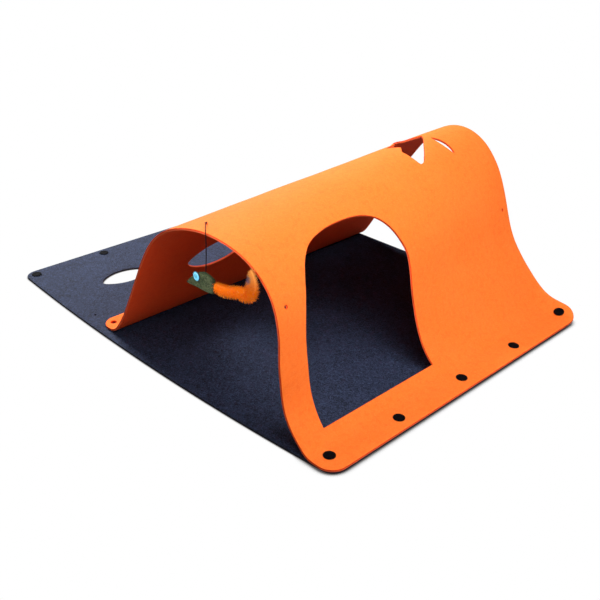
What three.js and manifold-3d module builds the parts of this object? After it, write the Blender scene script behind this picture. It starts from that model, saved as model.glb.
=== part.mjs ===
// A felt cat tunnel. A flat felt mat lies on the floor. A second felt sheet is fastened along one
// end of the mat, rises over it as an arch and comes down to a loose flange in the mat's middle.
// A small felt and plush fish hangs on a cord in the near mouth.
//
// Millimetres, +Z up. X runs along the mat, towards the fastened end. Y runs along the tunnel, from
// the near mouth to the far one. The origin is on the floor under the middle of the whole.
import * as THREE from 'three';
import { mergeVertices } from 'three/addons/utils/BufferGeometryUtils.js';
import Module from 'manifold-3d';

const wasm = await Module();
wasm.setup();

// Felt sizes
const FELT = 4; // thickness of the mat and of the sheet
const GAP = 0.3; // air between pieces that touch
const MAT_LENGTH = 900;
const MAT_FAR_EDGE = 350; // from the tunnel's middle to the mat's far edge
const MAT_NEAR_CORNER = 352; // to the ends of the near edge
const MAT_NEAR_BOW = 16; // how far the near edge curves out between its ends
const MAT_BOW_CENTRE = 20; // where along X that curve reaches out most
const MAT_CORNER = 30; // length of each rounded corner along the edges
const SHEET_LENGTH = 940; // cut length, measured along the arch
const SHEET_WIDTH = 700;
const SHEET_CORNER = 28; // corner radius
const SHEET_EDGE = 449.5; // X of the fastened edge

// How the sheet bends: its slope in degrees at distances along the cut length, from the fastened
// edge over the crown to the flange, at the near and at the far mouth. Rising is positive.
const SLOPES = [
  { along: 0, near: 0, far: 0 },
  { along: 46, near: 0, far: 5 },
  { along: 64, near: 47, far: 21 },
  { along: 80, near: 42, far: 37 },
  { along: 100, near: 52, far: 47 },
  { along: 130, near: 71, far: 51 },
  { along: 160, near: 83, far: 47 },
  { along: 200, near: 82, far: 53 },
  { along: 240, near: 85, far: 67 },
  { along: 280, near: 75, far: 71 },
  { along: 320, near: 50, far: 68 },
  { along: 360, near: 28, far: 60 },
  { along: 410, near: 10, far: 42 },
  { along: 460, near: -1, far: 14 },
  { along: 510, near: -13, far: -18 },
  { along: 560, near: -24, far: -43 },
  { along: 610, near: -41, far: -53 },
  { along: 660, near: -58, far: -56 },
  { along: 710, near: -63, far: -62 },
  { along: 760, near: -63, far: -67 },
  { along: 810, near: -62, far: -62 },
  { along: 860, near: -54, far: -57 },
  { along: 885, near: -45, far: -53 },
  { along: 905, near: 0, far: 0 },
  { along: SHEET_LENGTH, near: 0, far: 0 },
];
const SLOPE_SOFTENING = 12; // each slope is averaged over this distance to both sides
const FLAT_HEIGHT = 1.5 * FELT + GAP; // middle of the sheet's thickness where it lies on the mat

// The far corner of the fastened end curls up off the mat: over this length of the sheet, from this
// distance across it, by this much at its edge. The curl starts as if a little before the sheet.
const CURL = { length: 170, lead: 18, start: 305, lift: 16.8 };

// Between the mouths the arch bulges up a little: over these distances along it, by this much.
const BULGE = { start: 380, end: 720, lift: 2.6 };

// Openings cut in the sheet, in its flat pattern: along is measured from the fastened edge, and
// across from the tunnel's middle line, the near mouth being negative.
// The door: its near and far side at distances along the sheet, from its sill to its top.
const DOOR = [
  { along: 78, near: -298, far: -24 },
  { along: 115, near: -295, far: -23 },
  { along: 160, near: -294, far: -19 },
  { along: 205, near: -293, far: -14 },
  { along: 245, near: -291, far: -9.5 },
  { along: 275, near: -286, far: -9.5 },
  { along: 290, near: -281.5, far: -13 },
  { along: 303, near: -276.5, far: -18.5 },
  { along: 315, near: -271, far: -24 },
  { along: 328, near: -263, far: -30.5 },
  { along: 338, near: -255.5, far: -36.5 },
  { along: 347, near: -246.5, far: -43 },
  { along: 355, near: -237, far: -50 },
  { along: 361.5, near: -227, far: -57 },
  { along: 367, near: -216, far: -66 },
  { along: 372, near: -201, far: -77 },
  { along: 376, near: -184, far: -90 },
  { along: 378.8, near: -166, far: -105 },
  { along: 380.3, near: -142, far: -125 },
];
const BACK_LEAF = { along: 737, across: -162, halfLength: 72, halfWidth: 33 };
const SMALL_LEAF = { along: 452, across: 243.5, halfLength: 30, halfWidth: 8 };
const LEAF_FULLNESS = 0.6; // 1 would be a plain cosine outline, less is fuller
// The roof's tailed opening: its near and far side at distances along the sheet.
const ROOF_OPENING = [
  { along: 426, near: 139, far: 145 },
  { along: 430, near: 137, far: 154 },
  { along: 451, near: 136, far: 180 },
  { along: 472, near: 137, far: 205 },
  { along: 490, near: 157, far: 228 },
  { along: 510, near: 145, far: 249 },
  { along: 516, near: 145, far: 244 },
  { along: 533, near: 190, far: 231 },
  { along: 552, near: 210, far: 216 },
];
const PUNCHED_HOLES = [
  { along: 289, across: -327, diameter: 6 },
  { along: 280, across: 328, diameter: 6 },
  { along: 922, across: -331, diameter: 11 },
];
const CORD_HOLE = { along: 496, across: -325, diameter: 3.6 };

// Openings in the mat, in X and Y
const MAT_LEAF = { x: -303, y: -195, halfLength: 55, halfWidth: 28 };
const MAT_HOLE = { x: -197, y: -337, diameter: 5 };

// Black fastener dots: five along the sheet's fastened edge, and five along the mat's other end
const DOT = { diameter: 20, thickness: 1.6, rim: 0.5 };
// They are set by hand: the outer two lie a little further from the edge than the middle three, and
// where the sheet bends under one, it stands further off at its middle.
const SHEET_DOTS = [
  { along: 33, across: -325, gap: 0.6 },
  { along: 23.5, across: -174, gap: GAP },
  { along: 25, across: -3, gap: GAP },
  { along: 24.5, across: 158, gap: GAP },
  { along: 31, across: 329, gap: 1.9 },
];
const MAT_DOTS = { x: -431, pitch: 165, count: 5 };

// The toy, in X and Z, in the plane of the near mouth
const TOY_Y = -356;
const HEAD_THICKNESS = 5;
const HEAD_BEVEL = 1.2;
const HEAD_OUTLINE = [
  { x: 127.5, z: 202.2 },
  { x: 135, z: 210 },
  { x: 143, z: 217.3 },
  { x: 152.5, z: 225 },
  { x: 161, z: 230.2 },
  { x: 168.5, z: 233.3 },
  { x: 176, z: 234 },
  { x: 185.5, z: 232.3 },
  { x: 193.5, z: 229.6 },
  { x: 196.2, z: 226.5 },
  { x: 196, z: 213 },
  { x: 194.4, z: 204.5 },
  { x: 184, z: 202 },
  { x: 168.5, z: 201.4 },
  { x: 149, z: 201.6 },
  { x: 134, z: 200.4 },
];
const EYE = { x: 155.4, z: 221.6, diameter: 17, thickness: 1.5 };
// The plush tail runs level and then turns up to a point: sections along its middle line.
const TAIL_SECTIONS = [
  { x: 196.7, z: 217.2, halfHeight: 7, halfDepth: 4.5 },
  { x: 203, z: 217.4, halfHeight: 9, halfDepth: 6.2 },
  { x: 212, z: 217.5, halfHeight: 10.2, halfDepth: 7 },
  { x: 223, z: 218.8, halfHeight: 9.8, halfDepth: 7 },
  { x: 236, z: 222.4, halfHeight: 10, halfDepth: 7 },
  { x: 249.5, z: 227, halfHeight: 10.8, halfDepth: 7 },
  { x: 264, z: 231.5, halfHeight: 12.8, halfDepth: 6.8 },
  { x: 274, z: 240, halfHeight: 13.8, halfDepth: 5.8 },
  { x: 279.5, z: 250, halfHeight: 12, halfDepth: 4.6 },
  { x: 280.8, z: 259, halfHeight: 10, halfDepth: 3.5 },
  { x: 280, z: 268, halfHeight: 6.2, halfDepth: 2.6 },
  { x: 279.2, z: 276, halfHeight: 1.6, halfDepth: 1.2 },
];
const TAIL_SIDES = 14;
const CORD_DIAMETER = 1.5;
const KNOT = { radius: 2.4, flattening: 0.75 };
// The cord's middle line, from the knot over the sheet's edge down to the fish's back
const CORD_ROUTE = [
  { x: 142.4, y: -326.8, z: 298.1 },
  { x: 148.5, y: -332.4, z: 298.4 },
  { x: 155.5, y: -338.6, z: 299.1 },
  { x: 162.5, y: -344.4, z: 299.6 },
  { x: 167.8, y: -348.6, z: 299.7 },
  { x: 170.8, y: -350.9, z: 298.9 },
  { x: 172.6, y: -352.2, z: 296.6 },
  { x: 173.4, y: -352.7, z: 292 },
  { x: 173.9, y: -353, z: 283 },
  { x: 174.4, y: -353.6, z: 270 },
  { x: 174.8, y: -354.4, z: 257 },
  { x: 175, y: -355.3, z: 245 },
  { x: 175, y: -355.9, z: 234.3 },
];
const CORD_SIDES = 8;
const CORD_STEPS = 44;

const ORANGE_FELT = { color: 0xff7a2e, roughness: 0.95, metalness: 0 };
const GREY_FELT = { color: 0x3d4356, roughness: 0.97, metalness: 0 };
const BLACK_DOT = { color: 0x0c0c0e, roughness: 0.9, metalness: 0 };
const GREEN_FELT = { color: 0x4f6a3a, roughness: 0.95, metalness: 0 };
const BLUE_EYE = { color: 0x6cc6ea, roughness: 0.5, metalness: 0 };
const ORANGE_PLUSH = { color: 0xff8a1c, roughness: 1, metalness: 0 };
const DARK_CORD = { color: 0x1c1214, roughness: 0.7, metalness: 0 };

const WHOLE_CENTRE_Y = (MAT_FAR_EDGE - (MAT_NEAR_CORNER + MAT_NEAR_BOW)) / 2;
const tunnel = new THREE.Group();
tunnel.position.y = -WHOLE_CENTRE_Y;

function add(name, geometry, finish) {
  const mesh = new THREE.Mesh(geometry, new THREE.MeshStandardMaterial(finish));
  mesh.name = name;
  tunnel.add(mesh);
  return mesh;
}

// A table's column at a distance along the sheet, on straight lines between its rows
function lookUp(table, along, column) {
  const last = table.length - 1;
  if (along <= table[0].along) return table[0][column];
  if (along >= table[last].along) return table[last][column];
  const next = table.findIndex((row) => row.along > along);
  const a = table[next - 1];
  const b = table[next];
  const share = (along - a.along) / (b.along - a.along);
  return a[column] + share * (b[column] - a[column]);
}

// The bent section at one mouth, a point for each millimetre along the cut length. The way down is
// scaled so that the flange lies exactly on the mat.
function bentSection(mouth) {
  const softSlope = (along) => {
    let sum = 0;
    for (let k = -SLOPE_SOFTENING; k <= SLOPE_SOFTENING; k++) sum += lookUp(SLOPES, along + k, mouth);
    return THREE.MathUtils.degToRad(sum / (2 * SLOPE_SOFTENING + 1));
  };
  const points = [{ x: SHEET_EDGE, z: FLAT_HEIGHT }];
  let crown = 0;
  for (let along = 1; along <= SHEET_LENGTH; along++) {
    const slope = softSlope(along - 0.5);
    const before = points[along - 1];
    points.push({ x: before.x - Math.cos(slope), z: before.z + Math.sin(slope) });
    if (points[along].z > points[crown].z) crown = along;
  }
  const end = points[SHEET_LENGTH].z;
  const scale = (points[crown].z - FLAT_HEIGHT) / (points[crown].z - end);
  for (let along = crown; along <= SHEET_LENGTH; along++) {
    points[along].z = FLAT_HEIGHT + (points[along].z - end) * scale;
  }
  return points;
}

const nearSection = bentSection('near');
const farSection = bentSection('far');

function onSection(section, along) {
  const at = THREE.MathUtils.clamp(along, 0, SHEET_LENGTH);
  const i = Math.min(Math.floor(at), SHEET_LENGTH - 1);
  const share = at - i;
  const a = section[i];
  const b = section[i + 1];
  return { x: a.x + share * (b.x - a.x), z: a.z + share * (b.z - a.z) };
}

// The middle of the sheet's thickness at a place of its flat pattern
function sheetMiddle(along, across) {
  const near = onSection(nearSection, along);
  const far = onSection(farSection, along);
  const share = across / SHEET_WIDTH + 0.5;
  const reach = Math.max((across - CURL.start) / (SHEET_WIDTH / 2 - CURL.start), 0);
  const swell = THREE.MathUtils.clamp((along + CURL.lead) / (CURL.length + CURL.lead), 0, 1);
  const curl = CURL.lift * 6.75 * swell * (1 - swell) ** 2 * reach * reach;
  const over = THREE.MathUtils.clamp((along - BULGE.start) / (BULGE.end - BULGE.start), 0, 1);
  const bulge = BULGE.lift * Math.sin(over * Math.PI) ** 2 * (1 - Math.abs(2 * share - 1) ** 4);
  const x = near.x + share * (far.x - near.x);
  const z = near.z + share * (far.z - near.z) + curl + bulge;
  return new THREE.Vector3(x, across, z);
}

function sheetNormal(along, across) {
  const step = 1;
  const alongSheet = sheetMiddle(along + step, across).sub(sheetMiddle(along - step, across));
  const acrossSheet = sheetMiddle(along, across + step).sub(sheetMiddle(along, across - step));
  return acrossSheet.cross(alongSheet).normalize();
}

// The same place, raised off the middle along the sheet's outer side
function sheetPoint(along, across, raised) {
  return sheetNormal(along, across).multiplyScalar(raised).add(sheetMiddle(along, across));
}

// A closed slab that follows the sheet. Each row is { along, near, far }, and the shares say where
// its columns lie between near and far.
function bentSlab(rows, shares, below, above) {
  const columns = shares.length;
  const positions = [];
  const index = [];
  for (const raised of [above, below]) {
    for (const row of rows) {
      for (const share of shares) {
        const across = row.near + share * (row.far - row.near);
        positions.push(...sheetPoint(row.along, across, raised).toArray());
      }
    }
  }
  const outer = (i, j) => i * columns + j;
  const layer = rows.length * columns;
  const face = (a, b, c, d) => {
    index.push(a, b, c, a, c, d);
    index.push(a + layer, c + layer, b + layer, a + layer, d + layer, c + layer);
  };
  const wall = (from, to) => index.push(to, from, from + layer, to, from + layer, to + layer);
  const lastRow = rows.length - 1;
  const lastColumn = columns - 1;
  for (let i = 0; i < lastRow; i++) {
    for (let j = 0; j < lastColumn; j++) {
      face(outer(i, j), outer(i, j + 1), outer(i + 1, j + 1), outer(i + 1, j));
    }
    wall(outer(i + 1, 0), outer(i, 0));
    wall(outer(i, lastColumn), outer(i + 1, lastColumn));
  }
  for (let j = 0; j < lastColumn; j++) {
    wall(outer(0, j), outer(0, j + 1));
    wall(outer(lastRow, j + 1), outer(lastRow, j));
  }
  const geometry = new THREE.BufferGeometry();
  geometry.setAttribute('position', new THREE.Float32BufferAttribute(positions, 3));
  geometry.setIndex(index);
  return geometry;
}

function toSolid(geometry) {
  const bare = geometry.clone();
  bare.deleteAttribute('normal');
  bare.deleteAttribute('uv');
  const merged = mergeVertices(bare, 1e-4);
  const vertProperties = Float32Array.from(merged.attributes.position.array);
  const triVerts = Uint32Array.from(merged.index.array);
  return new wasm.Manifold(new wasm.Mesh({ numProp: 3, vertProperties, triVerts }));
}

function toGeometry(solid) {
  const mesh = solid.getMesh();
  const geometry = new THREE.BufferGeometry();
  geometry.setAttribute('position', new THREE.BufferAttribute(mesh.vertProperties, 3));
  geometry.setIndex(new THREE.BufferAttribute(mesh.triVerts, 1));
  geometry.computeVertexNormals();
  return geometry;
}

// Half the width of a leaf at a place from -1 to 1 along it, and the other way round
const leafHalfWidth = (share) => Math.cos((share * Math.PI) / 2) ** LEAF_FULLNESS;
const leafHalfLength = (share) => (2 / Math.PI) * Math.acos(Math.abs(share) ** (1 / LEAF_FULLNESS));

const steps = (count) => Array.from({ length: count + 1 }, (_, i) => i / count);

// The door's table, with rows between where the sheet bends
function doorRows() {
  const places = new Set(DOOR.map((row) => row.along));
  for (let along = 90; along < 270; along += 12) places.add(along);
  return [...places].sort((a, b) => a - b).map((along) => ({
    along,
    near: lookUp(DOOR, along, 'near'),
    far: lookUp(DOOR, along, 'far'),
  }));
}

// A leaf that lies across the sheet, as rows across its short side
function backLeafRows() {
  return steps(16).map((share) => {
    const place = 0.998 * Math.sin((share - 0.5) * Math.PI);
    const half = BACK_LEAF.halfLength * leafHalfLength(place);
    const along = BACK_LEAF.along + place * BACK_LEAF.halfWidth;
    return { along, near: BACK_LEAF.across - half, far: BACK_LEAF.across + half };
  });
}

function smallLeafRows() {
  return steps(14).map((share) => {
    const place = 0.995 * (2 * share - 1);
    const half = SMALL_LEAF.halfWidth * leafHalfWidth(place);
    const along = SMALL_LEAF.along + place * SMALL_LEAF.halfLength;
    return { along, near: SMALL_LEAF.across - half, far: SMALL_LEAF.across + half };
  });
}

function roofRows() {
  const count = 21;
  const start = ROOF_OPENING[0].along;
  const end = ROOF_OPENING[ROOF_OPENING.length - 1].along;
  const places = new Set(ROOF_OPENING.map((row) => row.along));
  for (const share of steps(count)) places.add(start + share * (end - start));
  return [...places].sort((a, b) => a - b).map((along) => ({
    along,
    near: lookUp(ROOF_OPENING, along, 'near'),
    far: lookUp(ROOF_OPENING, along, 'far'),
  }));
}

function punchedRows(hole) {
  return steps(8).map((share) => {
    const angle = (share - 0.5) * THREE.MathUtils.degToRad(164);
    const half = (hole.diameter / 2) * Math.cos(angle);
    const along = hole.along + (hole.diameter / 2) * Math.sin(angle);
    return { along, near: hole.across - half, far: hole.across + half };
  });
}

// The arched sheet, cut out of one bent slab
function makeSheet() {
  const corner = (fromEnd) => {
    const short = Math.max(SHEET_CORNER - fromEnd, 0);
    return SHEET_CORNER - Math.sqrt(SHEET_CORNER ** 2 - short ** 2);
  };
  const cornerPlaces = [0, 1.1, 3.7, 7.6, 12.8, 19.8, SHEET_CORNER];
  const places = new Set([...cornerPlaces, ...cornerPlaces.map((place) => SHEET_LENGTH - place)]);
  for (let along = 34; along < SHEET_LENGTH - 70; along += 11) places.add(along);
  for (let along = SHEET_LENGTH - 70; along < SHEET_LENGTH - SHEET_CORNER; along += 5) places.add(along);
  const rows = [...places].sort((a, b) => a - b).map((along) => {
    const half = SHEET_WIDTH / 2 - corner(Math.min(along, SHEET_LENGTH - along));
    return { along, near: -half, far: half };
  });
  const shares = [0, 0.17, 0.34, 0.5, 0.66, 0.83, 0.93, 0.965, 1];
  let solid = toSolid(bentSlab(rows, shares, -FELT / 2, FELT / 2));
  const cuts = [
    { rows: doorRows(), shares: [0, 0.5, 1] },
    { rows: backLeafRows(), shares: [0, 0.5, 1] },
    { rows: smallLeafRows(), shares: [0, 1] },
    { rows: roofRows(), shares: [0, 0.5, 1] },
    ...[...PUNCHED_HOLES, CORD_HOLE].map((hole) => ({ rows: punchedRows(hole), shares: [0, 1] })),
  ];
  for (const cut of cuts) solid = solid.subtract(toSolid(bentSlab(cut.rows, cut.shares, -FELT, FELT)));
  return toGeometry(solid);
}

// The mat: its outline, with its leaf opening and one punched hole
function makeMat() {
  const end = MAT_LENGTH / 2;
  const c = MAT_CORNER;
  const near = -MAT_NEAR_CORNER;
  const shape = new THREE.Shape();
  shape.moveTo(c - end, near);
  shape.quadraticCurveTo(MAT_BOW_CENTRE, near - 2 * MAT_NEAR_BOW, end - c, near);
  shape.quadraticCurveTo(end, near, end, near + c);
  shape.lineTo(end, MAT_FAR_EDGE - c);
  shape.quadraticCurveTo(end, MAT_FAR_EDGE, end - c, MAT_FAR_EDGE);
  shape.lineTo(c - end, MAT_FAR_EDGE);
  shape.quadraticCurveTo(-end, MAT_FAR_EDGE, -end, MAT_FAR_EDGE - c);
  shape.lineTo(-end, near + c);
  shape.quadraticCurveTo(-end, near, c - end, near);
  const leaf = new THREE.Path();
  const side = steps(18).map((share) => 1 - 2 * share);
  const outline = [
    ...side.map((place) => [-leafHalfWidth(place), place]),
    ...side.slice(1, -1).reverse().map((place) => [leafHalfWidth(place), place]),
  ];
  leaf.setFromPoints(outline.map(([across, along]) => new THREE.Vector2(
    MAT_LEAF.x + across * MAT_LEAF.halfWidth,
    MAT_LEAF.y + along * MAT_LEAF.halfLength,
  )));
  const hole = new THREE.Path();
  hole.absarc(MAT_HOLE.x, MAT_HOLE.y, MAT_HOLE.diameter / 2, 0, 2 * Math.PI);
  shape.holes.push(leaf, hole);
  return new THREE.ExtrudeGeometry(shape, { depth: FELT, bevelEnabled: false, curveSegments: 16 });
}

// A fastener dot, a flat disc with an eased rim, lying on z = 0
function makeDot() {
  const radius = DOT.diameter / 2;
  const profile = [
    new THREE.Vector2(0, 0),
    new THREE.Vector2(radius, 0),
    new THREE.Vector2(radius, DOT.thickness - DOT.rim),
    new THREE.Vector2(radius - DOT.rim, DOT.thickness),
    new THREE.Vector2(0, DOT.thickness),
  ];
  return new THREE.LatheGeometry(profile, 28).rotateX(Math.PI / 2);
}

function placeOnSheet(mesh, along, across, raised) {
  const normal = sheetNormal(along, across);
  mesh.position.copy(sheetPoint(along, across, raised));
  mesh.quaternion.setFromUnitVectors(new THREE.Vector3(0, 0, 1), normal);
}

// A flat outline in X and Z, turned upright into the toy's plane
function makeHead() {
  const curve = new THREE.Shape(HEAD_OUTLINE.map((point) => new THREE.Vector2(point.x, -point.z)));
  const geometry = new THREE.ExtrudeGeometry(curve, {
    depth: HEAD_THICKNESS - 2 * HEAD_BEVEL,
    bevelThickness: HEAD_BEVEL,
    bevelSize: HEAD_BEVEL,
    bevelOffset: -HEAD_BEVEL,
    bevelSegments: 2,
  });
  return geometry.rotateX(-Math.PI / 2).translate(0, TOY_Y - HEAD_THICKNESS / 2 + HEAD_BEVEL, 0);
}

function makeEye() {
  const geometry = new THREE.CylinderGeometry(EYE.diameter / 2, EYE.diameter / 2, EYE.thickness, 24);
  return geometry.translate(EYE.x, TOY_Y - HEAD_THICKNESS / 2 - GAP - EYE.thickness / 2, EYE.z);
}

// The plush tail, lofted through oval sections that stand square to its middle line
function makeTail() {
  const positions = [];
  const index = [];
  const sides = TAIL_SIDES;
  const last = TAIL_SECTIONS.length - 1;
  TAIL_SECTIONS.forEach((section, i) => {
    const before = TAIL_SECTIONS[Math.max(i - 1, 0)];
    const after = TAIL_SECTIONS[Math.min(i + 1, last)];
    const square = new THREE.Vector2(-(after.z - before.z), after.x - before.x).normalize();
    for (let k = 0; k < sides; k++) {
      const angle = (k / sides) * 2 * Math.PI;
      const inPlane = section.halfHeight * Math.cos(angle);
      const depth = section.halfDepth * Math.sin(angle);
      positions.push(section.x + square.x * inPlane, TOY_Y + depth, section.z + square.y * inPlane);
    }
  });
  for (let i = 0; i < last; i++) {
    for (let k = 0; k < sides; k++) {
      const a = i * sides + k;
      const b = i * sides + ((k + 1) % sides);
      index.push(a, b + sides, b, a, a + sides, b + sides);
    }
  }
  for (const [row, forward] of [[0, false], [last, true]]) {
    const { x, z } = TAIL_SECTIONS[row];
    const hub = positions.length / 3;
    positions.push(x, TOY_Y, z);
    for (let k = 0; k < sides; k++) {
      const a = row * sides + k;
      const b = row * sides + ((k + 1) % sides);
      index.push(...(forward ? [hub, b, a] : [hub, a, b]));
    }
  }
  const geometry = new THREE.BufferGeometry();
  geometry.setAttribute('position', new THREE.Float32BufferAttribute(positions, 3));
  geometry.setIndex(index);
  geometry.computeVertexNormals();
  return geometry;
}

function makeCord() {
  const route = new THREE.CatmullRomCurve3(CORD_ROUTE.map(({ x, y, z }) => new THREE.Vector3(x, y, z)));
  const section = new THREE.Shape();
  for (let k = 0; k < CORD_SIDES; k++) {
    const angle = (k / CORD_SIDES) * 2 * Math.PI;
    const x = (CORD_DIAMETER / 2) * Math.cos(angle);
    const y = (CORD_DIAMETER / 2) * Math.sin(angle);
    if (k === 0) section.moveTo(x, y);
    else section.lineTo(x, y);
  }
  section.closePath();
  return new THREE.ExtrudeGeometry(section, { steps: CORD_STEPS, extrudePath: route, bevelEnabled: false });
}

add('felt_mat', makeMat(), GREY_FELT);
add('tunnel_sheet', makeSheet(), ORANGE_FELT);

SHEET_DOTS.forEach(({ along, across, gap }, i) => {
  placeOnSheet(add(`sheet_dot_${i + 1}`, makeDot(), BLACK_DOT), along, across, FELT / 2 + gap);
});
for (let i = 0; i < MAT_DOTS.count; i++) {
  const y = (i - (MAT_DOTS.count - 1) / 2) * MAT_DOTS.pitch;
  add(`mat_dot_${i + 1}`, makeDot(), BLACK_DOT).position.set(MAT_DOTS.x, y, FELT + GAP);
}

add('toy_head', makeHead(), GREEN_FELT);
add('toy_eye', makeEye(), BLUE_EYE);
add('toy_tail', makeTail(), ORANGE_PLUSH);
add('toy_cord', makeCord(), DARK_CORD);

const knot = add('cord_knot', new THREE.SphereGeometry(KNOT.radius, 14, 10), DARK_CORD);
placeOnSheet(knot, CORD_HOLE.along, CORD_HOLE.across, FELT / 2 + GAP + KNOT.radius * KNOT.flattening);
knot.scale.z = KNOT.flattening;

export default tunnel;
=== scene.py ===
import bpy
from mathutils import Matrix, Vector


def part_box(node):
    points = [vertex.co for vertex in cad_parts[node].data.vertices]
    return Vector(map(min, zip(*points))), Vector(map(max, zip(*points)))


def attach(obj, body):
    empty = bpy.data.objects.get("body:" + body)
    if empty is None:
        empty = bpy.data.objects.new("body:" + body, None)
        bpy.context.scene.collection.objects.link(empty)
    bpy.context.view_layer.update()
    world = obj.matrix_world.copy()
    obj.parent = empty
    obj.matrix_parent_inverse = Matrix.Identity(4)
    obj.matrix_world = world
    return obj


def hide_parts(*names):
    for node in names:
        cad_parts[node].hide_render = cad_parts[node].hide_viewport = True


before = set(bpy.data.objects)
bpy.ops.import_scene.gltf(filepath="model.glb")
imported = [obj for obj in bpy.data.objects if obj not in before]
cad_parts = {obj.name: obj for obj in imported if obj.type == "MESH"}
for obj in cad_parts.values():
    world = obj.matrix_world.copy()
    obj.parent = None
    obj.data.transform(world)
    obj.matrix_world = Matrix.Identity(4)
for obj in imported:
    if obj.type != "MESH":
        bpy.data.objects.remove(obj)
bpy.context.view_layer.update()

from math import ceil, cos, pi, radians, sin, sqrt

import bmesh
import bpy
import numpy as np
from bpy.props import FloatProperty, FloatVectorProperty, PointerProperty
from mathutils import Matrix, Vector, kdtree, noise
from mathutils.geometry import delaunay_2d_cdt

bl_info = {
    "name": "Felt cat tunnel",
    "version": (1, 0, 0),
    "blender": (4, 5, 0),
    "location": "View3D > Sidebar > Cat tunnel",
    "description": "Makes a felt cat tunnel with its mat, fasteners and hanging fish",
    "category": "Add Mesh",
}

MM = 0.001

# Places that the frame gives
MAT_LOW, MAT_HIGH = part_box("felt_mat")
FASTENED_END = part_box("tunnel_sheet")[1].x
DOT_LOW, DOT_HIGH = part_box("mat_dot_1")
FELT = MAT_HIGH.z - MAT_LOW.z
MAT_FAR_EDGE = 350 * MM
MIDDLE_Y = MAT_HIGH.y - MAT_FAR_EDGE  # the tunnel's middle line

# The felt pieces as they are cut
GAP = 0.3 * MM
SHEET_LENGTH = 940 * MM
SHEET_WIDTH = 700 * MM
SHEET_CORNER = 28 * MM
OVERHANG = 1.4 * MM  # of the sheet's fastened edge over the mat's edge
MAT_LENGTH = 900 * MM
MAT_NEAR_CORNER = 352 * MM
MAT_NEAR_BOW = 16 * MM
MAT_BOW_CENTRE = 20 * MM
MAT_CORNER = 30 * MM
MAT_SPACING = 1.6  # of its points, in spacings of the sheet's
EDGE_STEP = 4 * MM  # the longest step along a cut edge
# How far the sheet's near edge runs out, and the distances along it where that starts and is full
RUN_OUTS = ((3.8 * MM, 250 * MM, 190 * MM), (1 * MM, 70 * MM, 30 * MM))

# How the sheet bends, from the fastened edge over the crown to the flange. A row is the distance
# along the cut length in millimetres, and the slope in degrees at the near and at the far mouth.
SLOPES = [
    (0, 0, 0), (46, 0, 5), (64, 47, 21), (80, 42, 37), (100, 52, 47), (130, 71, 51),
    (160, 83, 47), (200, 82, 53), (240, 85, 67), (280, 75, 71), (320, 50, 68), (360, 28, 60),
    (410, 10, 42), (460, -1, 14), (510, -13, -18), (560, -24, -43), (610, -41, -53),
    (660, -58, -56), (710, -63, -62), (760, -63, -67), (810, -62, -62), (860, -54, -57),
    (885, -45, -53), (905, 0, 0), (940, 0, 0),
]
SLOPE_SOFTENING = 12  # millimetres to both sides
FLAT_HEIGHT = 1.5 * FELT + GAP
CURL = {"length": 170 * MM, "lead": 18 * MM, "start": 305 * MM, "lift": 16.8 * MM}
BULGE = {"start": 380 * MM, "end": 720 * MM, "lift": 2.6 * MM}
# The felt's small lift beside the roof's opening: its place and reach, across and along
RAISED_EAR = {"centre": (215 * MM, 552 * MM), "reach": (8 * MM, 10 * MM), "lift": 4.2 * MM}
# The felt's soft swells: waves on a metre across and along, their place in the noise, their share
SWELLS = ((9, 7, 3.1, 1), (23, 19, 8.4, 0.5))
SWELL_START = 25 * MM  # the height from which the arch stands free of the mat
SWELL_RISE = 60 * MM
EDGE_WAVES = (420, 1300)  # waves of the cut edges on a metre

# Openings in the sheet's flat pattern, in millimetres. A row of the door and of the roof's tailed
# opening is a distance along the sheet, and its near and its far side there.
DOOR = [
    (78, -298, -24), (115, -295, -23), (160, -294, -19), (205, -293, -14), (245, -291, -9.5),
    (275, -286, -9.5), (290, -281.5, -13), (303, -276.5, -18.5), (315, -271, -24),
    (328, -263, -30.5), (338, -255.5, -36.5), (347, -246.5, -43), (355, -237, -50),
    (361.5, -227, -57), (367, -216, -66), (372, -201, -77), (376, -184, -90),
    (378.8, -166, -105), (380.3, -142, -125),
]
ROOF_OPENING = [
    (426, 139, 145), (430, 137, 154), (451, 136, 180), (472, 137, 205), (490, 157, 228),
    (510, 145, 249), (516, 145, 244), (533, 190, 231), (552, 210, 216),
]
# Punched holes: across, along and diameter in millimetres
PUNCHED_HOLES = [(-327, 289, 6), (328, 280, 6), (-331, 922, 11), (-325, 496, 3.6)]
MAT_HOLE = (-197, -337, 5)
# Leaves: the place of the middle, half the length and half the width in millimetres
BACK_LEAF = (-162, 737, 72, 33)
SMALL_LEAF = (243.5, 452, 30, 6.4)
MAT_LEAF = (-303, -195, 55, 28)
LEAF_FULLNESS = 0.6
LEAF_POINTS = 27  # on one side
# The dots on the sheet, in millimetres: across, along, and the air under the middle
SHEET_DOTS = [
    (-325, 33, 0.6), (-174, 23.5, 0.3), (-3, 25, 0.3), (158, 24.5, 0.3), (329, 31, 1.9),
]

# The toy, in X and Z in millimetres, in its own upright plane
TOY_Y = -356 * MM
HEAD_THICKNESS = 5 * MM
HEAD_SPACING = 2.2 * MM
HEAD_SOFTNESS = 2.2 * MM
HEAD_OUTLINE = [
    (127.5, 202.2), (135, 210), (143, 217.3), (152.5, 225), (161, 230.2), (168.5, 233.3),
    (176, 234), (185.5, 232.3), (193.5, 229.6), (196.2, 226.5), (196, 213), (194.4, 204.5),
    (184, 202), (168.5, 201.4), (149, 201.6), (134, 200.4),
]
EYE_THICKNESS = 1.5 * MM
EYE_FACE_RADIUS = 7 * MM
# The eye's rim, from its back to its middle: radius and height
EYE_RIM = [(0, 0), (8.3, 0), (8.5, 0.25), (8.5, 0.7), (8.1, 1), (7.1, 0.9), (0, 0.6)]
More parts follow.
